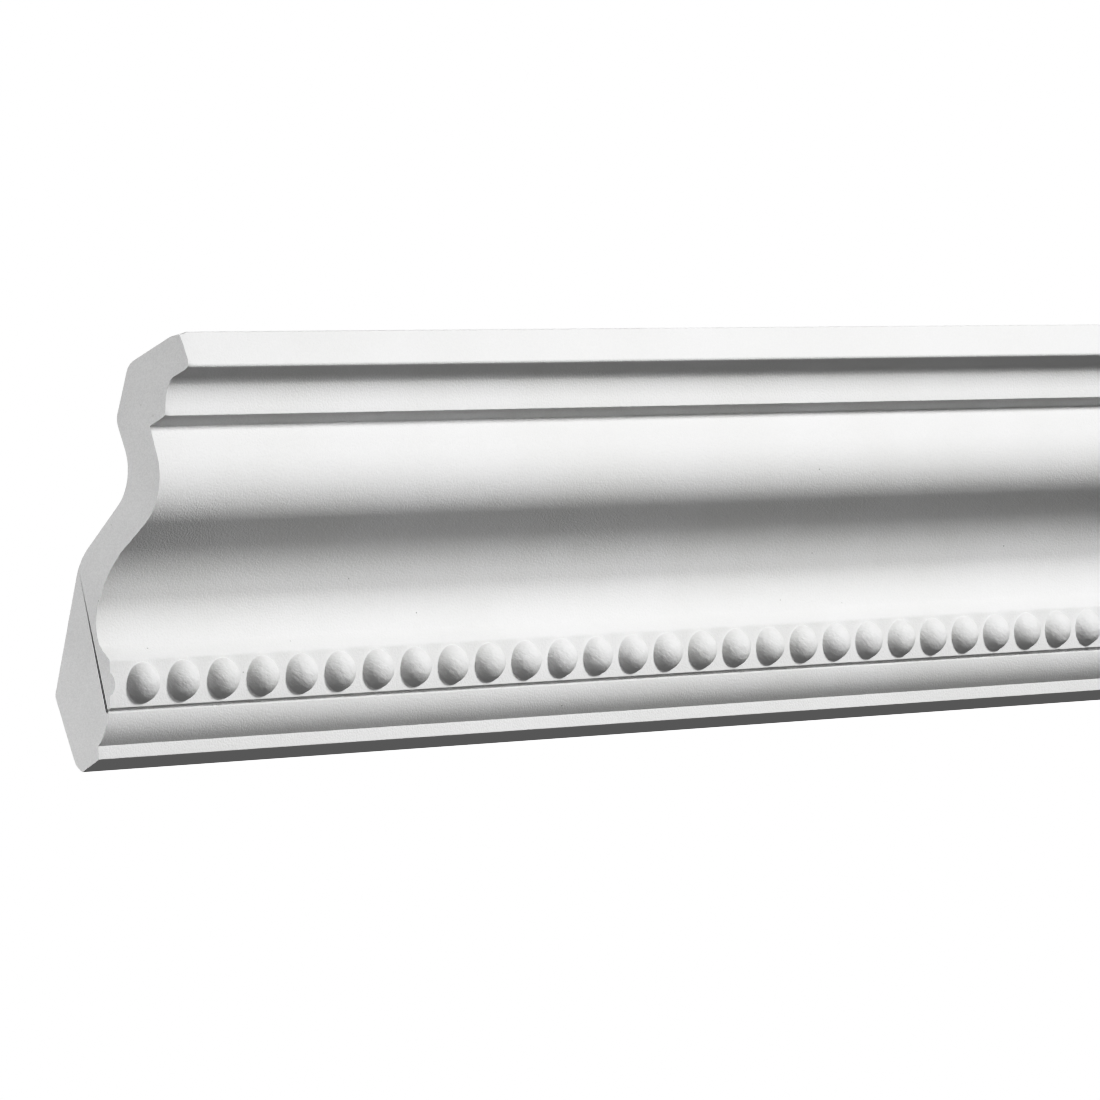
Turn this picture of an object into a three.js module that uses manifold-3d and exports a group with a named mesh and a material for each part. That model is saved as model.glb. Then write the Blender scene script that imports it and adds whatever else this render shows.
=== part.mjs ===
// A length of cast foam cornice for the angle between a wall and a ceiling, with a row of beads.
// Millimetres. X runs along the length, -Y looks into the room and +Z is up. The wall is the plane
// y = 0, and the origin is the middle of the flat face that lies against it.
import * as THREE from 'three';
import { mergeVertices } from 'three/addons/utils/BufferGeometryUtils.js';
import Module from 'manifold-3d';

const wasm = await Module();
wasm.setup();

// Overall sizes. A section point is given as its distance out from the wall and its height above
// the lowest edge.
const length = 577.5;
const drop = 120.8;
const projection = 111.5;

// Room side under the ceiling: an upright fascia, its underside, a cavetto and a step
const fasciaHeight = 13.4;
const soffitDepth = 11;
const soffitRadius = 6;
const cavettoWidth = 7.4;
const cavettoHeight = 10.6;
const cavettoTopSlope = 45;
const cavettoFootSlope = 66;
const cavettoRadius = 15;
const stepDepth = 8.8;
const stepRadius = 0.5;

// The cyma reversa: a full shoulder, a nearly level middle, a long throat that steepens, and a
// cove that flares out again to the bead band
const shoulderLean = 3.6;
const shoulderRadius = 22;
const cymaSlope = 15.8;
const throatWidth = 17.1;
const throatSlope = 39.5;
const throatRadius = 45;
const coveRadius = 22.5;
const coveHollow = 2.8;
const flareLean = 24.4;
const flareRadius = 6;

// The bead band leans out over a narrow quirk. Each bead is a cap of a ball.
const beadDiameter = 14.4;
const beadRise = 5.8;
const beadPitch = 19.2;
const beadMargin = 1.2;
const bandLean = 23.7;
const bandEdgeRadius = 1.5;
const quirkDepth = 1.5;
const quirkRise = 0.8;

// Foot of the moulding: a shallow ovolo over a fillet, and the narrow bottom face, which rises a
// little towards the room
const ovoloWidth = 9.8;
const ovoloHeight = 8.9;
const ovoloRadius = 18;
const filletHeight = 4.5;
const filletLean = 18;
const bottomDepth = 12.3;
const bottomRise = 0.9;

// Hidden side: a face to the wall, well rounded at its foot, and one to the ceiling, with the rest
// hollowed out so that the cast stays about equally thick
const footInset = 2.4;
const footBevel = 2.5;
const wallFootRadius = 8.6;
const wallFaceTop = 29.7;
const wallTopRadius = 2.5;
const wallFaceMiddle = 17.4;
const wallReliefSlope = 50.8;
const ceilingFaceDepth = 28.5;
const ceilingEdgeRadius = 7;
const ceilingReliefSlope = 47.9;
const neckThickness = 15.1;
const neckEdgeRadius = 6.4;
const neckRadius = 18;
const webThickness = 13.1;
const webSlope = 20.2;
const hollowRadius = 23;

// Along the length from the left end: the middle of the bead that the cut passes through, which
// lies outside the length, and that of the first whole bead
const cutBeadOutside = 5.8;
const firstBead = 15.2;

// Fineness of the faceted curves
const arcStepDegrees = 9;
const beadSides = 20;
const beadRings = 4;
const beadRoot = 2;

const radians = THREE.MathUtils.degToRad;
const at = (out, up) => new THREE.Vector2(out, up);
const corner = (point, radius = 0) => ({ point, radius });
const heading = (degrees) => at(Math.cos(radians(degrees)), Math.sin(radians(degrees)));

// The point where a line through a, and one through b, cross; both headings are in degrees
function meet(a, headingA, b, headingB) {
  const alongA = heading(headingA);
  const alongB = heading(headingB);
  const reach = b.clone().sub(a).cross(alongB) / alongA.cross(alongB);
  return a.clone().addScaledVector(alongA, reach);
}

// The point where the end tangents of an arc from a to b meet, on the right-hand side of a to b
function crownOf(a, b, radius) {
  const chord = b.clone().sub(a);
  const half = chord.length() / 2;
  const offset = half * Math.tan(Math.asin(Math.min(half / radius, Math.SQRT1_2)));
  const outward = at(chord.y, -chord.x).normalize();
  return a.clone().add(b).multiplyScalar(0.5).addScaledVector(outward, offset);
}

// Room side of the section, from the ceiling down
function roomSide() {
  const soffitHeight = drop - fasciaHeight;
  const soffitEnd = at(projection - soffitDepth, soffitHeight);
  const stepEdge = at(soffitEnd.x - cavettoWidth, soffitHeight - cavettoHeight);
  const stepInner = at(stepEdge.x - stepDepth, stepEdge.y);

  const bottomEdge = at(bottomDepth, bottomRise);
  const filletTop = bottomEdge.clone().add(at(filletHeight * Math.tan(radians(filletLean)), filletHeight));
  const quirkInner = filletTop.clone().add(at(ovoloWidth, ovoloHeight));
  const lip = quirkInner.clone().add(at(quirkDepth, quirkRise));
  const bandTop = lip.clone().addScaledVector(heading(90 - bandLean), beadDiameter + 2 * beadMargin);

  const coveWall = bandTop.x - coveHollow;
  const middle = at((stepInner.x + coveWall) / 2, (stepInner.y + bandTop.y) / 2);
  const throatTop = meet(middle, cymaSlope, at(coveWall + throatWidth, 0), 90);
  const throatFoot = meet(throatTop, throatSlope, at(coveWall, 0), 90);
  return {
    stepInner, middle, lip, bandTop,
    corners: [
      corner(at(projection, drop)),
      corner(at(projection, soffitHeight)),
      corner(soffitEnd, soffitRadius),
      corner(meet(soffitEnd, cavettoTopSlope, stepEdge, cavettoFootSlope), cavettoRadius),
      corner(stepEdge),
      corner(stepInner, stepRadius),
      corner(meet(stepInner, 90 - shoulderLean, middle, cymaSlope), shoulderRadius),
      corner(throatTop, throatRadius),
      corner(throatFoot, coveRadius),
      corner(meet(throatFoot, 90, bandTop, 90 + flareLean), flareRadius),
      corner(bandTop, bandEdgeRadius),
      corner(lip),
      corner(quirkInner),
      corner(crownOf(filletTop, quirkInner, ovoloRadius), ovoloRadius),
      corner(filletTop),
      corner(bottomEdge),
    ],
  };
}

// Hidden side of the section, from the bottom up
function hiddenSide(room) {
  const wallTop = at(0, wallFaceTop);
  const ceilingBack = at(projection - ceilingFaceDepth, drop);
  const neck = at(room.stepInner.x - neckThickness, 0);
  const webBack = room.middle.clone().addScaledVector(heading(90 + webSlope), webThickness);
  return [
    corner(at(footInset, 0)),
    corner(at(0, footBevel), wallFootRadius),
    corner(wallTop, wallTopRadius),
    corner(meet(wallTop, wallReliefSlope, webBack, webSlope), hollowRadius),
    corner(meet(webBack, webSlope, neck, 90), neckRadius),
    corner(meet(neck, 90, ceilingBack, ceilingReliefSlope), neckEdgeRadius),
    corner(ceilingBack, ceilingEdgeRadius),
  ];
}

// Each corner becomes an arc of its radius, made smaller where its sides are too short for it
function roundOff(corners) {
  const count = corners.length;
  const sides = corners.map((here, i) => corners[(i + 1) % count].point.clone().sub(here.point));
  const turns = corners.map((here, i) => {
    const before = sides[(i + count - 1) % count];
    return Math.atan2(before.cross(sides[i]), before.dot(sides[i]));
  });
  const cuts = corners.map((here, i) => here.radius * Math.tan(Math.abs(turns[i]) / 2));
  const room = sides.map((side, i) => Math.min(1, side.length() / (cuts[i] + cuts[(i + 1) % count])));
  return corners.flatMap((here, i) => {
    if (here.radius === 0) return [here.point];
    const share = Math.min(room[i], room[(i + count - 1) % count]);
    const before = sides[(i + count - 1) % count].clone().normalize();
    const start = here.point.clone().addScaledVector(before, -cuts[i] * share);
    const left = at(-before.y, before.x).multiplyScalar(Math.sign(turns[i]) * here.radius * share);
    const centre = start.clone().add(left);
    const steps = Math.max(1, Math.ceil(Math.abs(turns[i]) / radians(arcStepDegrees)));
    return Array.from({ length: steps + 1 }, (_, k) => (
      start.clone().rotateAround(centre, turns[i] * k / steps)));
  });
}

function toSolid(geometry) {
  const plain = geometry.clone();
  plain.deleteAttribute('normal');
  plain.deleteAttribute('uv');
  const merged = mergeVertices(plain, 1e-4);
  return new wasm.Manifold(new wasm.Mesh({
    numProp: 3,
    vertProperties: new Float32Array(merged.attributes.position.array),
    triVerts: new Uint32Array(merged.index.array),
  }));
}

function toGeometry(solid) {
  const mesh = solid.getMesh();
  const geometry = new THREE.BufferGeometry();
  geometry.setAttribute('position', new THREE.BufferAttribute(mesh.vertProperties, 3));
  geometry.setIndex(new THREE.BufferAttribute(mesh.triVerts, 1));
  geometry.computeVertexNormals();
  return geometry;
}

// The plain moulding: its section drawn out along the whole length
function makeRun(room) {
  const section = new THREE.Shape(roundOff([...room.corners, ...hiddenSide(room)]));
  const run = new THREE.ExtrudeGeometry(section, { depth: length, bevelEnabled: false });
  const place = new THREE.Matrix4().makeBasis(
    new THREE.Vector3(0, -1, 0), new THREE.Vector3(0, 0, 1), new THREE.Vector3(-1, 0, 0));
  run.applyMatrix4(place);
  run.translate(length / 2, 0, -wallFaceMiddle);
  return run;
}

// One bead, rooted in the band: a ball's cap on a short cylinder, standing up along Y
function makeBead() {
  const foot = beadDiameter / 2;
  const ball = (foot * foot + beadRise * beadRise) / (2 * beadRise);
  const opening = Math.atan2(foot, ball - beadRise);
  const outline = [at(0, -beadRoot), at(foot, -beadRoot)];
  for (let ring = 0; ring <= beadRings; ring += 1) {
    const angle = opening * (1 - ring / beadRings);
    outline.push(at(ring < beadRings ? ball * Math.sin(angle) : 0, beadRise - ball + ball * Math.cos(angle)));
  }
  return new THREE.LatheGeometry(outline, beadSides);
}

// Places one bead on the middle of the band, so far from the left end of the length
function beadOnBand(room, fromLeftEnd) {
  const seat = room.lip.clone().add(room.bandTop).multiplyScalar(0.5);
  const alongBand = heading(90 - bandLean);
  const facing = at(alongBand.y, -alongBand.x);
  const bead = makeBead();
  bead.applyMatrix4(new THREE.Matrix4().makeBasis(
    new THREE.Vector3(1, 0, 0),
    new THREE.Vector3(0, -facing.x, facing.y),
    new THREE.Vector3(0, alongBand.x, -alongBand.y),
  ));
  bead.translate(fromLeftEnd - length / 2, -seat.x, seat.y - wallFaceMiddle);
  return bead;
}

// The moulding with its beads, cut square at both ends
function makeCornice() {
  const room = roomSide();
  const run = toSolid(makeRun(room));
  const deep = 2 * (projection + drop);
  const between = new THREE.BoxGeometry(length, deep, deep);
  let beads = toSolid(beadOnBand(room, -cutBeadOutside));
  for (let x = firstBead; x < length + beadDiameter / 2; x += beadPitch) {
    beads = beads.add(toSolid(beadOnBand(room, x)));
  }
  return toGeometry(run.add(beads.intersect(toSolid(between))));
}

const whiteFoam = new THREE.MeshStandardMaterial({ color: 0xf1f1ef, roughness: 0.72, metalness: 0 });

const cornice = new THREE.Mesh(makeCornice(), whiteFoam);
cornice.name = 'cornice_moulding';

const part = new THREE.Group();
part.add(cornice);

export default part;
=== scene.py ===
# A straight length of white cast foam cornice with a row of beads, where it would hang on its wall.
# Metres. X runs along the length, -Y looks into the room, +Z is up, and the wall is the plane y = 0.
from math import asin, ceil, cos, degrees, radians, sin, sqrt, tan

import bmesh
import bpy
from mathutils import Matrix, Vector


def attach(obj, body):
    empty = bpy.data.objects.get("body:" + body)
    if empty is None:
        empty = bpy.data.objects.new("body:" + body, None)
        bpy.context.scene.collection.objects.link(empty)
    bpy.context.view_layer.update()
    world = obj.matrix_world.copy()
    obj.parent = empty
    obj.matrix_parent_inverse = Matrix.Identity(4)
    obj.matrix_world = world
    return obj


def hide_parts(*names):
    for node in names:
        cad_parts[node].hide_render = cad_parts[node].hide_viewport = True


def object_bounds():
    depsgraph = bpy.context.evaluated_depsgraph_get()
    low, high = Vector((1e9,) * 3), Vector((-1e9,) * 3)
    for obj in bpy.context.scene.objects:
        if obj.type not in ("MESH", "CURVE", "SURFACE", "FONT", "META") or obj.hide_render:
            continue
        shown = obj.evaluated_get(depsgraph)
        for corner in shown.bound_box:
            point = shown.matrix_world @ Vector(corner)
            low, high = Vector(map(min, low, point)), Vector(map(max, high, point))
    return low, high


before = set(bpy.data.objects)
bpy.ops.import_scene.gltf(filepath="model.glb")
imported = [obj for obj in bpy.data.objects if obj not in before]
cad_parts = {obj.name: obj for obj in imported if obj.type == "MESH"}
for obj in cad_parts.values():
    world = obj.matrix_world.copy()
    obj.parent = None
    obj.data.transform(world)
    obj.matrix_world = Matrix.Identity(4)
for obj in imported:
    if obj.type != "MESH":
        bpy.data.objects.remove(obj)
cadLow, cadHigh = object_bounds()
length = cadHigh.x - cadLow.x
projection = -cadLow.y
drop = cadHigh.z - cadLow.z
print("frame loaded, a length of", round(length, 4))


# small helpers

def selectOnly(obj):
    bpy.ops.object.select_all(action='DESELECT')
    obj.select_set(True)
    bpy.context.view_layer.objects.active = obj


def editVerts(obj, wanted):
    # goes into edit mode with the vertices selected whose place passes the test
    if bpy.context.mode != 'EDIT_MESH':
        bpy.ops.object.mode_set(mode='EDIT')
    bpy.ops.mesh.select_mode(type='VERT')
    bpy.ops.mesh.select_all(action='DESELECT')
    mesh = bmesh.from_edit_mesh(obj.data)
    for vert in mesh.verts:
        vert.select = bool(wanted(vert.co))
    mesh.select_flush(True)
    bmesh.update_edit_mesh(obj.data)


def editFaces(obj, wanted):
    # the same for faces, by their middle and normal
    if bpy.context.mode != 'EDIT_MESH':
        bpy.ops.object.mode_set(mode='EDIT')
    bpy.ops.mesh.select_mode(type='FACE')
    bpy.ops.mesh.select_all(action='DESELECT')
    mesh = bmesh.from_edit_mesh(obj.data)
    for face in mesh.faces:
        face.select_set(bool(wanted(face.calc_center_median(), face.normal)))
    bmesh.update_edit_mesh(obj.data)


def heading(angle):
    return Vector((cos(radians(angle)), sin(radians(angle))))


def meet(a, headingA, b, headingB):
    # where a line through a crosses one through b
    alongA, alongB = heading(headingA), heading(headingB)
    return a + alongA * ((b - a).cross(alongB) / alongA.cross(alongB))


def crown(a, b, radius):
    # where the end tangents of an arc from a to b meet
    chord = b - a
    outward = Vector((chord.y, -chord.x)).normalized()
    return (a + b) / 2 + outward * tan(asin(chord.length / 2 / radius)) * chord.length / 2


# the section, as distance out from the wall and height over the lowest edge

section = {
    "fasciaHeight": 0.0134, "fasciaTopEdge": 0.0009, "fasciaFootEdge": 0.0012,
    "soffitDepth": 0.0110, "soffitRadius": 0.006,
    "cavettoWidth": 0.0074, "cavettoHeight": 0.0106, "cavettoRadius": 0.015,
    "cavettoTopSlope": 45, "cavettoFootSlope": 66,
    "stepDepth": 0.0088, "stepEdge": 0.0005, "stepRadius": 0.0005,
    "shoulderLean": 3.6, "shoulderRadius": 0.022, "cymaSlope": 15.8,
    "throatWidth": 0.0171, "throatSlope": 39.5, "throatRadius": 0.045,
    "coveRadius": 0.0225, "coveHollow": 0.0028, "flareLean": 24.4, "flareRadius": 0.006,
    "bandLean": 23.7, "bandEdge": 0.0015, "lipEdge": 0.0004,
    "quirkDepth": 0.0015, "quirkRise": 0.0008, "grooveDepth": 0.0009, "grooveHeight": 0.0005,
    "ovoloWidth": 0.0098, "ovoloHeight": 0.0089, "ovoloRadius": 0.018,
    "filletHeight": 0.0045, "filletLean": 18, "filletEdge": 0.0003,
    "bottomDepth": 0.0123, "bottomRise": 0.0009, "bottomEdge": 0.0005,
    "footInset": 0.0024, "footBevel": 0.0025, "footEdge": 0.0006, "wallFootRadius": 0.0086,
    "wallFaceTop": 0.0297, "wallTopRadius": 0.0025, "wallReliefSlope": 50.8,
    "ceilingFaceDepth": 0.0285, "ceilingEdgeRadius": 0.007, "ceilingReliefSlope": 47.9,
    "neckThickness": 0.0151, "neckEdgeRadius": 0.0064, "neckRadius": 0.018,
    "webThickness": 0.0131, "webSlope": 20.2, "hollowRadius": 0.023,
    "arcStep": 5, "arcStrip": 0.0007, "sideStrip": 0.0015,  # the outline's fineness
}

bead = {
    "diameter": 0.0144, "rise": 0.0058, "pitch": 0.0192, "margin": 0.0012,
    "footRadius": 0.0003, "footSlope": 12, "skirt": 0.0003, "root": 0.002,
    "cutOutside": 0.0060, "first": 0.0152,  # middles of the cut and the first whole bead, from the left end
    "sides": 48, "rings": 36, "footSteps": 4,
    "unevenness": 0.00014, "unevenScale": 0.0035,
}


def roomSide(s):
    # corners and their radii from the ceiling down
    soffitHeight = drop - s["fasciaHeight"]
    soffitEnd = Vector((projection - s["soffitDepth"], soffitHeight))
    stepFront = soffitEnd - Vector((s["cavettoWidth"], s["cavettoHeight"]))
    stepBack = stepFront - Vector((s["stepDepth"], 0))

    bottomFront = Vector((s["bottomDepth"], s["bottomRise"]))
    filletTop = bottomFront + Vector((s["filletHeight"] * tan(radians(s["filletLean"])), s["filletHeight"]))
    quirkBack = filletTop + Vector((s["ovoloWidth"], s["ovoloHeight"]))
    lip = quirkBack + Vector((s["quirkDepth"], s["quirkRise"]))
    bandTop = lip + heading(90 - s["bandLean"]) * (bead["diameter"] + 2 * bead["margin"])

    coveWall = bandTop.x - s["coveHollow"]
    middle = Vector(((stepBack.x + coveWall) / 2, (stepBack.y + bandTop.y) / 2))
    throatTop = meet(middle, s["cymaSlope"], Vector((coveWall + s["throatWidth"], 0)), 90)
    throatFoot = meet(throatTop, s["throatSlope"], Vector((coveWall, 0)), 90)
    corners = [
        (Vector((projection, drop)), s["fasciaTopEdge"]),
        (Vector((projection, soffitHeight)), s["fasciaFootEdge"]),
        (soffitEnd, s["soffitRadius"]),
        (meet(soffitEnd, s["cavettoTopSlope"], stepFront, s["cavettoFootSlope"]), s["cavettoRadius"]),
        (stepFront, s["stepEdge"]),
        (stepBack, s["stepRadius"]),
        (meet(stepBack, 90 - s["shoulderLean"], middle, s["cymaSlope"]), s["shoulderRadius"]),
        (throatTop, s["throatRadius"]),
        (throatFoot, s["coveRadius"]),
        (meet(throatFoot, 90, bandTop, 90 + s["flareLean"]), s["flareRadius"]),
        (bandTop, s["bandEdge"]),
        (lip, s["lipEdge"]),
        (Vector((quirkBack.x - s["grooveDepth"], lip.y)), 0.0001),
        (Vector((quirkBack.x - s["grooveDepth"], lip.y - s["grooveHeight"])), 0.0001),
        (quirkBack, 0.0005),
        (crown(filletTop, quirkBack, s["ovoloRadius"]), s["ovoloRadius"]),
        (filletTop, s["filletEdge"]),
        (bottomFront, s["bottomEdge"]),
    ]
    return corners, stepBack, middle, lip, bandTop


def wallSide(s, stepBack, middle):
    # the hidden side, from the bottom up
    wallTop = Vector((0, s["wallFaceTop"]))
    ceilingBack = Vector((projection - s["ceilingFaceDepth"], drop))
    neck = Vector((stepBack.x - s["neckThickness"], 0))
    webBack = middle + heading(90 + s["webSlope"]) * s["webThickness"]
    return [
        (Vector((s["footInset"], 0)), s["footEdge"]),
        (Vector((0, s["footBevel"])), s["wallFootRadius"]),
        (wallTop, s["wallTopRadius"]),
        (meet(wallTop, s["wallReliefSlope"], webBack, s["webSlope"]), s["hollowRadius"]),
        (meet(webBack, s["webSlope"], neck, 90), s["neckRadius"]),
        (meet(neck, 90, ceilingBack, s["ceilingReliefSlope"]), s["neckEdgeRadius"]),
        (ceilingBack, s["ceilingEdgeRadius"]),
    ]


def roundings(corners):
    # start, centre and turn of each corner's arc, smaller where its sides are too short for it
    count = len(corners)
    sides = [corners[(i + 1) % count][0] - corners[i][0] for i in range(count)]
    turns = [sides[i].angle_signed(sides[i - 1]) for i in range(count)]
    cuts = [corners[i][1] * tan(abs(turns[i]) / 2) for i in range(count)]
    room = [min(1, sides[i].length / (cuts[i] + cuts[(i + 1) % count])) for i in range(count)]
    arcs = []
    for i, (point, radius) in enumerate(corners):
        share = min(room[i], room[i - 1])
        before = sides[i - 1].normalized()
        start = point - before * cuts[i] * share
        inward = Vector((-before.y, before.x)) * (1 if turns[i] > 0 else -1)
        arcs.append((start, start + inward * radius * share, turns[i]))
    return arcs


def place(point, x):
    # a section point in the part's own frame
    return Vector((x, -point.x, point.y + cadLow.z))


def drawOutline(corners, x):
    # one vertex drawn round the section: the sides are extruded and the corners spun
    arcs = roundings(corners)
    bpy.ops.object.select_all(action='DESELECT')
    bpy.ops.mesh.primitive_plane_add(size=section["sideStrip"], location=place(arcs[0][0], x))
    outline = bpy.context.object
    bpy.ops.object.transform_apply(location=True, rotation=False, scale=False)
    bpy.ops.object.mode_set(mode='EDIT')
    bpy.ops.mesh.select_mode(type='VERT')
    bpy.ops.mesh.select_all(action='SELECT')
    bpy.ops.mesh.merge(type='CENTER')
    for i, (start, centre, turn) in enumerate(arcs):
        arm = start - centre
        steps = ceil(max(degrees(abs(turn)) / section["arcStep"], arm.length * abs(turn) / section["arcStrip"]))
        bpy.ops.mesh.spin(steps=steps, angle=turn, center=place(centre, x), axis=(1, 0, 0))
        arm.rotate(Matrix.Rotation(turn, 2))
        side = arcs[(i + 1) % len(arcs)][0] - centre - arm
        strips = ceil(side.length / section["sideStrip"] - 1e-6)
        for _ in range(strips):
            bpy.ops.mesh.extrude_vertices_move(
                TRANSFORM_OT_translate={"value": (0, -side.x / strips, side.y / strips)})
    bpy.ops.mesh.select_all(action='SELECT')
    bpy.ops.mesh.remove_doubles(threshold=1e-5)
    bpy.ops.mesh.edge_face_add()
    bpy.ops.object.mode_set(mode='OBJECT')
    return outline


# the plain run, longer than needed at both ends until it is cut

cut = {
    "spare": 0.02,
    "rings": (0.0005, 0.0012, 0.0022, 0.0040),  # distances from each end of the loops that hold the cut's wear
    "tear": 0.00016,            # how far the skin may tear along the cut
    "seeds": (4, 9),
    "cornerPush": (0, 0.0003, -0.0008), "cornerReach": 0.0042,  # the ceiling corner is bruised at both ends
    "edgePush": (0, 0.0004, 0.0003), "edgeReach": 0.0016,       # and the two sharp lower edges a little
}


def makeRun():
    start = -length / 2 - cut["spare"]
    run = drawOutline(roomCorners + wallSide(section, stepBack, middle), start)
    run.name = run.data.name = "corniceCasting"
    bpy.ops.object.mode_set(mode='EDIT')
    bpy.ops.mesh.select_all(action='SELECT')
    bpy.ops.mesh.extrude_region_move(TRANSFORM_OT_translate={"value": (-2 * start, 0, 0)})
    bpy.ops.mesh.select_all(action='SELECT')
    bpy.ops.mesh.normals_make_consistent(inside=False)
    bpy.ops.object.mode_set(mode='OBJECT')
    return run


roomCorners, stepBack, middle, lip, bandTop = roomSide(section)
casting = makeRun()
print("run drawn,", len(casting.data.polygons), "faces")


# one bead, upright on the origin: a ball's cap that runs out at its foot into a small hollow

def makeBead(b):
    foot = b["diameter"] / 2
    ball = (foot ** 2 + b["rise"] ** 2) / (2 * b["rise"])
    sunk = ball - b["rise"]  # depth of the ball's middle under the band
    hollow = b["footRadius"]
    reach = sqrt((ball + hollow) ** 2 - (sunk + hollow) ** 2)  # radius at which the hollow meets the band
    radius = reach * ball / (ball + hollow)
    height = (sunk + hollow) * ball / (ball + hollow) - sunk

    bpy.ops.object.select_all(action='DESELECT')
    bpy.ops.mesh.primitive_uv_sphere_add(
        segments=b["sides"], ring_count=b["rings"], radius=ball, location=(0, 0, -sunk))
    cap = bpy.context.object
    bpy.ops.object.transform_apply(location=True, rotation=False, scale=False)
    bpy.ops.object.mode_set(mode='EDIT')
    bpy.ops.mesh.select_all(action='SELECT')
    bpy.ops.mesh.bisect(plane_co=(0, 0, height), plane_no=(0, 0, 1), clear_inner=True, threshold=1e-6)
    editVerts(cap, lambda co: co.z < height + 1e-6)

    def grow(newRadius, newHeight):
        nonlocal radius, height
        bpy.ops.mesh.extrude_region_move(TRANSFORM_OT_translate={"value": (0, 0, newHeight - height)})
        scale = newRadius / radius
        bpy.ops.transform.resize(value=(scale, scale, 1), center_override=(0, 0, 0))
        radius, height = newRadius, newHeight

    steep = asin((reach - radius) / hollow)
    slope = radians(b["footSlope"])
    for step in range(1, b["footSteps"] + 1):
        angle = steep + (slope - steep) * step / b["footSteps"]
        grow(reach - hollow * sin(angle), hollow - hollow * cos(angle))
    grow(radius + b["skirt"], height - b["skirt"] * tan(slope))  # just under the band's surface
    grow(radius, height - b["root"])
    bpy.ops.mesh.edge_face_add()
    bpy.ops.mesh.select_all(action='SELECT')
    bpy.ops.mesh.normals_make_consistent(inside=False)
    bpy.ops.object.mode_set(mode='OBJECT')
    return cap


def setBead(cap, fromLeftEnd):
    seat = (lip + bandTop) / 2
    cap.rotation_euler.x = radians(90 + section["bandLean"])
    cap.location = place(seat, fromLeftEnd - length / 2)
    selectOnly(cap)
    bpy.ops.object.transform_apply(location=True, rotation=True, scale=True)


def makeRow(b):
    row = makeBead(b)
    selectOnly(row)
    bpy.ops.object.duplicate(linked=False)
    cutBead = bpy.context.object
    setBead(cutBead, -b["cutOutside"])
    setBead(row, b["first"])
    copies = row.modifiers.new("copies", 'ARRAY')
    copies.use_relative_offset = False
    copies.use_constant_offset = True
    copies.constant_offset_displace = (b["pitch"], 0, 0)
    copies.count = int((length + b["diameter"] / 2 - b["first"]) / b["pitch"]) + 1
    bpy.ops.object.modifier_apply(modifier=copies.name)
    cutBead.select_set(True)
    bpy.ops.object.join()
    return row


def fuse(run, row):
    # beads and run become one closed skin
    selectOnly(run)
    union = run.modifiers.new("beads", 'BOOLEAN')
    union.operation = 'UNION'
    union.solver = 'EXACT'
    union.object = row
    bpy.ops.object.modifier_apply(modifier=union.name)
    bpy.data.objects.remove(row, do_unlink=True)


row = makeRow(bead)
fuse(casting, row)
print("beads cast on,", len(casting.data.polygons), "faces")


# both ends cut square, and the skin a little torn along the cut

def heightOf(co):
    return co.z - cadLow.z


def cutEnds(run):
    half = length / 2
    selectOnly(run)
    bpy.ops.object.mode_set(mode='EDIT')
    for side, clear in ((-1, "clear_inner"), (1, "clear_outer")):
        bpy.ops.mesh.select_all(action='SELECT')
        bpy.ops.mesh.bisect(plane_co=(side * half, 0, 0), plane_no=(1, 0, 0), use_fill=True,
                            threshold=1e-6, **{clear: True})
        for ring in cut["rings"]:
            bpy.ops.mesh.select_all(action='SELECT')
            bpy.ops.mesh.bisect(plane_co=(side * (half - ring), 0, 0), plane_no=(1, 0, 0), threshold=1e-6)
    torn = (lip.y - section["ovoloHeight"], middle.y)
    for side, seed in zip((-1, 1), cut["seeds"]):
        end = side * half
        editVerts(run, lambda co: abs(co.x - end) < 1e-6 and co.y < -section["bottomDepth"] - 0.001
                  and torn[0] < heightOf(co) < torn[1] and isRoomSide(co))
        bpy.ops.transform.vertex_random(offset=cut["tear"], seed=seed)
        bpy.ops.transform.resize(value=(0, 1, 1), center_override=(end, 0, 0))
        bruise(run, end, roomCorners[0][0], cut["cornerPush"], cut["cornerReach"])
        bruise(run, end, roomCorners[1][0], cut["edgePush"], cut["edgeReach"])
        bruise(run, end, roomCorners[4][0], cut["edgePush"], cut["edgeReach"])
    bpy.ops.object.mode_set(mode='OBJECT')


def bruise(run, end, corner, push, reach):
    # an edge pushed in at the cut, less and less over its reach
    editVerts(run, lambda co: abs(co.x - end) < 1e-6
              and (Vector((-co.y, heightOf(co))) - corner).length < 0.001)
    bpy.ops.transform.translate(
        value=push, use_proportional_edit=True, use_proportional_connected=True,
        proportional_edit_falloff='SMOOTH', proportional_size=reach)


def isRoomSide(co):
    # the web's middle line parts the room side from the wall side
    fromMiddle = Vector((-co.y, heightOf(co))) - middle
    return fromMiddle.dot(heading(90 + section["webSlope"])) < section["webThickness"] / 2


cutEnds(casting)


def roughenBeads(run, b):
    # no two cast beads are quite alike: each gets shallow dents of its own
    seat = place((lip + bandTop) / 2, 0)
    out = Vector((0, -cos(radians(section["bandLean"])), -sin(radians(section["bandLean"]))))
    group = run.vertex_groups.new(name="beads")
    inBand = abs(bandTop.y - lip.y) / 2 + b["rise"]
    raised = [(v.index, (v.co - seat).dot(out)) for v in run.data.vertices
              if abs(v.co.z - seat.z) < inBand and abs(v.co.x) < length / 2 - 1e-4]
    for index, rise in raised:
        if rise > b["footRadius"]:
            group.add([index], min(1, rise / b["rise"] * 2), 'REPLACE')
    dents = bpy.data.textures.new("dents", 'CLOUDS')
    dents.noise_scale = b["unevenScale"]
    dents.noise_depth = 1
    selectOnly(run)
    push = run.modifiers.new("dents", 'DISPLACE')
    push.texture = dents
    push.texture_coords = 'LOCAL'
    push.strength = 2 * b["unevenness"]
    push.vertex_group = group.name
    bpy.ops.object.modifier_apply(modifier=push.name)
    run.vertex_groups.clear()


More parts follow.
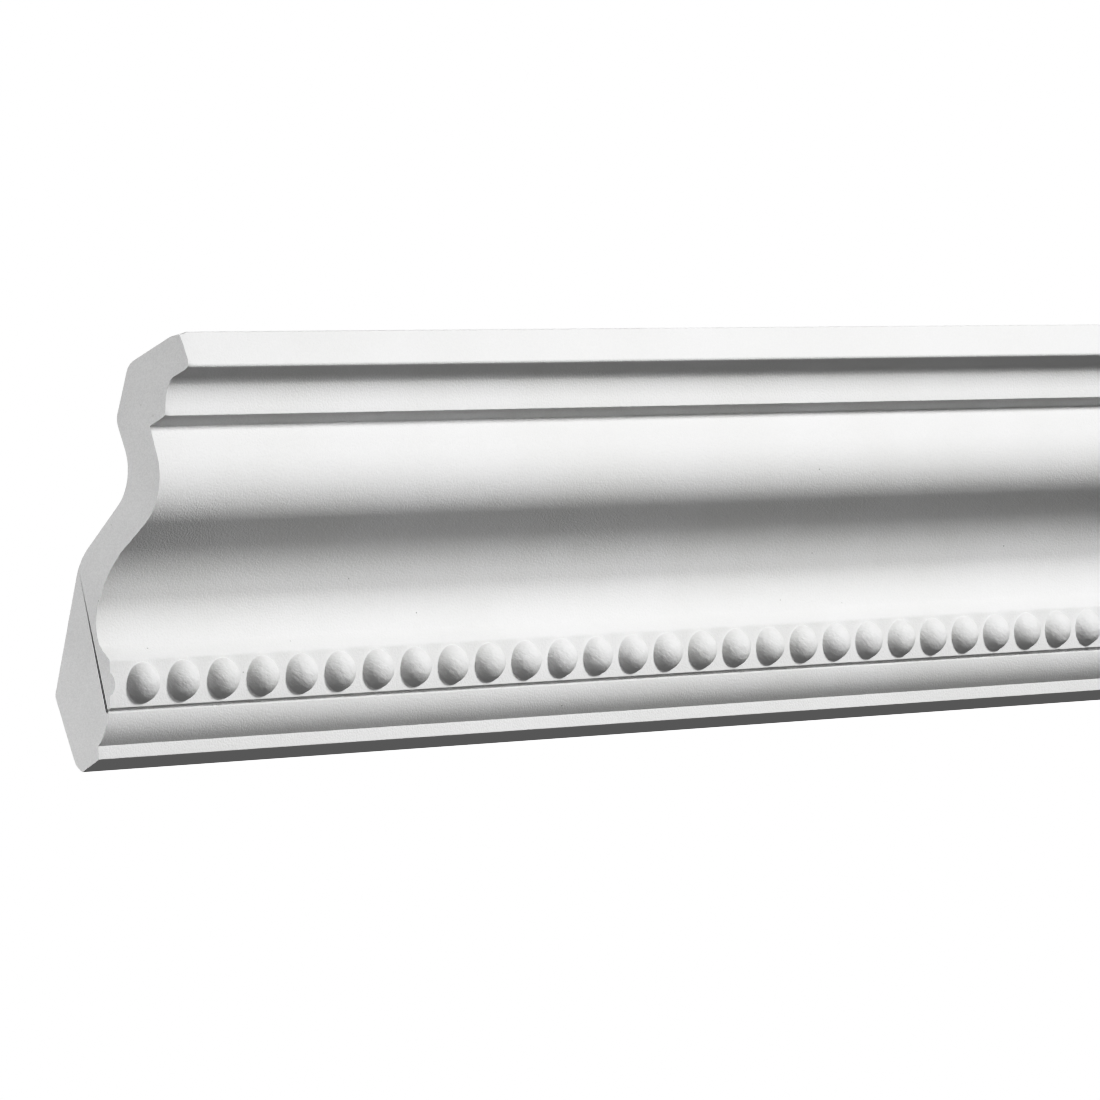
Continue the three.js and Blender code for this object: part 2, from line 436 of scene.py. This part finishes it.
roughenBeads(casting, bead)
selectOnly(casting)
bpy.ops.object.shade_smooth_by_angle(angle=radians(30))
flatten = casting.modifiers.new("flat faces", 'WEIGHTED_NORMAL')
flatten.keep_sharp = True
bpy.ops.object.modifier_apply(modifier=flatten.name)
print("casting cut and finished,", len(casting.data.polygons), "faces")

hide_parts("cornice_moulding")
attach(casting, "root")


# materials, all on object coordinates in metres

skinLook = {
    "colour": (0.80, 0.80, 0.80, 1), "shade": (0.775, 0.775, 0.77, 1), "roughness": (0.62, 0.74),
    "grain": 0.0007, "grainHeight": 0.00015, "grainShade": 0.03,
    "swell": 0.006, "swellHeight": 0.00003,
    "crease": (0.0030, 0.0010), "creaseTurn": 40, "creaseHeight": 0.00001,  # length and width of a crease
    "pitSpacing": 0.010, "pitSize": 0.00045, "pitShare": 0.25, "pitDepth": 0.0002,
    # the pits' dark colour is painted shade inside them
    "pitShadeColour": (0.35, 0.35, 0.34, 1),
}
beadLook = dict(skinLook, creaseHeight=0.00018, grainHeight=0.00012)
wallLook = dict(skinLook, colour=(0.76, 0.76, 0.75, 1), grainHeight=0.00005, swellHeight=0.00008,
                creaseHeight=0.00005, pitSpacing=0.006, pitSize=0.0006, pitShare=0.4)
# the cut foam's pits are darkened with painted shade too
foamLook = dict(skinLook, colour=(0.76, 0.76, 0.76, 1), shade=(0.71, 0.71, 0.71, 1), roughness=(0.8, 0.9),
                grain=0.0005, grainHeight=0.00006, grainShade=0.07, swell=0.004, swellHeight=0.00003,
                creaseHeight=0.00002, pitSpacing=0.0035, pitSize=0.0004, pitShare=0.3, pitDepth=0.0002,
                pitShadeColour=(0.5, 0.5, 0.49, 1))


def foamMaterial(name, look):
    material = bpy.data.materials.new(name)
    material.use_nodes = True
    nodes, links = material.node_tree.nodes, material.node_tree.links
    shader = nodes["Principled BSDF"]
    shader.inputs["Specular IOR Level"].default_value = 0.3

    def add(kind, label, x, y, **sockets):
        node = nodes.new(kind)
        node.label = label
        node.location = (x, y)
        for socket, value in sockets.items():
            node.inputs[socket.replace("_", " ")].default_value = value
        return node

    where = add('ShaderNodeTexCoord', "place", -1400, 0)

    def noise(label, size, detail, y):
        node = add('ShaderNodeTexNoise', label, -1150, y, Scale=1 / size, Detail=detail)
        links.new(where.outputs["Object"], node.inputs["Vector"])
        return node

    grain = noise("grain", look["grain"], 2, 300)
    swell = noise("swell", look["swell"], 3, 0)

    # creases that the mould left, all running down to the right
    along, across = look["crease"]
    lay = add('ShaderNodeMapping', "crease lay", -1400, -900)
    lay.vector_type = 'TEXTURE'
    lay.inputs["Rotation"].default_value = (0, radians(look["creaseTurn"]), 0)
    lay.inputs["Scale"].default_value = (along / across, 1, 1)
    links.new(where.outputs["Object"], lay.inputs["Vector"])
    crease = add('ShaderNodeTexNoise', "creases", -1150, -900, Scale=1 / across, Detail=1)
    links.new(lay.outputs["Vector"], crease.inputs["Vector"])
    blotch = noise("blotches", 0.05, 4, 600)

    # sparse pits: small discs round some of the cell middles, sunk by a bump and darkened with painted shade
    cells = add('ShaderNodeTexVoronoi', "pit cells", -1150, -350, Scale=1 / look["pitSpacing"])
    links.new(where.outputs["Object"], cells.inputs["Vector"])
    disc = add('ShaderNodeMapRange', "pit disc", -900, -300)
    disc.interpolation_type = 'SMOOTHSTEP'
    disc.inputs["From Min"].default_value = look["pitSize"] / look["pitSpacing"]
    disc.inputs["From Max"].default_value = 0
    links.new(cells.outputs["Distance"], disc.inputs["Value"])
    chosen = add('ShaderNodeMath', "some cells", -900, -550)
    chosen.operation = 'LESS_THAN'
    chosen.inputs[1].default_value = look["pitShare"]
    links.new(cells.outputs["Color"], chosen.inputs[0])
    pits = add('ShaderNodeMath', "pits", -700, -400)
    pits.operation = 'MULTIPLY'
    links.new(disc.outputs["Result"], pits.inputs[0])
    links.new(chosen.outputs["Value"], pits.inputs[1])

    def mixColour(label, x, y, a, b, factor):
        node = add('ShaderNodeMix', label, x, y)
        node.data_type = 'RGBA'
        for socket, value in ((node.inputs[6], a), (node.inputs[7], b)):
            if hasattr(value, "is_output"):
                links.new(value, socket)
            else:
                socket.default_value = value
        links.new(factor, node.inputs[0])
        return node.outputs[2]

    uneven = add('ShaderNodeMapRange', "blotch contrast", -900, 600)
    uneven.inputs["From Min"].default_value = 0.35
    uneven.inputs["From Max"].default_value = 0.65
    links.new(blotch.outputs["Fac"], uneven.inputs["Value"])
    colour = mixColour("colour", -450, 500, look["colour"], look["shade"], uneven.outputs["Result"])
    speck = add('ShaderNodeMapRange', "speckle", -450, 700)
    speck.inputs["From Min"].default_value = 0.35
    speck.inputs["From Max"].default_value = 0.65
    speck.inputs["To Max"].default_value = look["grainShade"]
    links.new(grain.outputs["Fac"], speck.inputs["Value"])
    colour = mixColour("speckled", -350, 450, colour, (0, 0, 0, 1), speck.outputs["Result"])
    # painted shade: the pits are darkened towards their dark colour
    colour = mixColour("painted pit shade", -250, 400, colour, look["pitShadeColour"], pits.outputs["Value"])
    links.new(colour, shader.inputs["Base Color"])

    gloss = add('ShaderNodeMapRange', "roughness", -450, 200)
    gloss.inputs["To Min"].default_value, gloss.inputs["To Max"].default_value = look["roughness"]
    links.new(swell.outputs["Fac"], gloss.inputs["Value"])
    links.new(gloss.outputs["Result"], shader.inputs["Roughness"])

    def bump(label, x, height, depth, below=None, sunk=False):
        node = add('ShaderNodeBump', label, x, -200, Strength=1, Distance=depth)
        node.invert = sunk
        links.new(height, node.inputs["Height"])
        if below:
            links.new(below, node.inputs["Normal"])
        return node.outputs["Normal"]

    surface = bump("swell bump", -650, swell.outputs["Fac"], look["swellHeight"])
    surface = bump("crease bump", -550, crease.outputs["Fac"], look["creaseHeight"], surface)
    surface = bump("grain bump", -450, grain.outputs["Fac"], look["grainHeight"], surface)
    surface = bump("pit bump", -250, pits.outputs["Value"], look["pitDepth"], surface, sunk=True)
    links.new(surface, shader.inputs["Normal"])
    return material


for name, look in (("primedSkin", skinLook), ("wallSideSkin", wallLook), ("cutFoam", foamLook),
                   ("beadSkin", beadLook)):
    casting.data.materials.append(foamMaterial(name, look))

selectOnly(casting)
editFaces(casting, lambda middle, normal: normal.y > 0.02 or middle.z > cadHigh.z - 1e-5)
casting.active_material_index = 1
bpy.ops.object.material_slot_assign()
editFaces(casting, lambda middle, normal: abs(middle.x) > length / 2 - 1e-5)
casting.active_material_index = 2
bpy.ops.object.material_slot_assign()
beadSeat = place((lip + bandTop) / 2, 0)
beadOut = Vector((0, -cos(radians(section["bandLean"])), -sin(radians(section["bandLean"]))))
editFaces(casting, lambda middle, normal: abs(middle.z - beadSeat.z) < bead["diameter"] * 0.6
          and (middle - beadSeat).dot(beadOut) > 0.0001 and abs(middle.x) < length / 2 - 1e-5)
casting.active_material_index = 3
bpy.ops.object.material_slot_assign()
bpy.ops.object.mode_set(mode='OBJECT')
print("materials made")


# the photograph's view: from below, in front and to the left, with a long lens

view = {"location": (-1.857868, -1.665849, -0.572372), "turn": (104.9567, 17.0855, -43.3457), "lens": 219.27}

bpy.ops.object.camera_add(location=view["location"], rotation=[radians(angle) for angle in view["turn"]])
camera = bpy.context.object
camera.name = "camera"
camera.data.lens = view["lens"]
bpy.context.scene.camera = camera

# soft lamps: place, width and watts; each one faces the moulding's middle

partMiddle = (cadLow + cadHigh) / 2
lamps = {
    "key": {"place": (0.42, -1.38, 0.25), "size": 0.32, "watts": 15.4},
    "lowFill": {"place": (-0.30, -0.60, -0.10), "size": 0.45, "watts": 1.0},
    "leftEnd": {"place": (-1.20, 0.50, 0.10), "size": 0.6, "watts": 8.5},
    "rightEnd": {"place": (1.20, 0.50, 0.10), "size": 0.6, "watts": 8.5},
    "wallFill": {"place": (0.0, 1.50, 0.15), "size": 0.9, "watts": 6},
    "topFill": {"place": (0.0, 0.80, 1.40), "size": 0.9, "watts": 12},
}
for name, lamp in lamps.items():
    where = Vector(lamp["place"])
    facing = (partMiddle - where).to_track_quat('-Z', 'Y').to_euler()
    bpy.ops.object.light_add(type='AREA', location=where, rotation=facing)
    light = bpy.context.object
    light.name = name
    light.data.shape = 'DISK'
    light.data.size = lamp["size"]
    light.data.energy = lamp["watts"]
    light.visible_camera = False

studio = {"white": 1.0, "ambient": 0.115, "floorDepth": 4.6, "floorSize": 120, "floorShade": 0.93}

world = bpy.data.worlds.new("studio")
world.use_nodes = True
bpy.context.scene.world = world
nodes, links = world.node_tree.nodes, world.node_tree.links
seen = nodes["Background"]
seen.inputs["Color"].default_value = (1, 1, 1, 1)
seen.inputs["Strength"].default_value = studio["white"]
around = nodes.new('ShaderNodeBackground')
around.inputs["Color"].default_value = (1, 1, 1, 1)
around.inputs["Strength"].default_value = studio["ambient"]
path = nodes.new('ShaderNodeLightPath')
either = nodes.new('ShaderNodeMixShader')
links.new(path.outputs["Is Camera Ray"], either.inputs[0])
links.new(around.outputs[0], either.inputs[1])
links.new(seen.outputs[0], either.inputs[2])
links.new(either.outputs[0], nodes["World Output"].inputs["Surface"])

bpy.ops.mesh.primitive_plane_add(size=studio["floorSize"], location=(0, 0, -studio["floorDepth"]))
floor = bpy.context.object
floor.name = "floor"
bpy.ops.object.transform_apply(location=True, rotation=False, scale=False)
pale = bpy.data.materials.new("paleFloor")
pale.use_nodes = True
glow = pale.node_tree.nodes.new('ShaderNodeEmission')
glow.inputs["Color"].default_value = (*[studio["floorShade"]] * 3, 1)
pale.node_tree.links.new(glow.outputs[0], pale.node_tree.nodes["Material Output"].inputs["Surface"])
floor.data.materials.append(pale)
floor.visible_diffuse = floor.visible_glossy = False  # it is lit evenly and throws no light on the moulding

# the picture's own contrast: steep mid tones over a lifted black, as the photograph was finished
picture = bpy.context.scene.view_settings
picture.view_transform = 'Standard'
picture.use_curve_mapping = True
contrast = {"black": 0.107, "tones": ((0.19, 0.107), (0.30, 0.191), (0.55, 0.551), (0.70, 0.756), (0.85, 0.912))}
picture.curve_mapping.curves[3].points[0].location = (0, contrast["black"])
for light, shown in contrast["tones"]:
    picture.curve_mapping.curves[3].points.new(light, shown)
picture.curve_mapping.update()
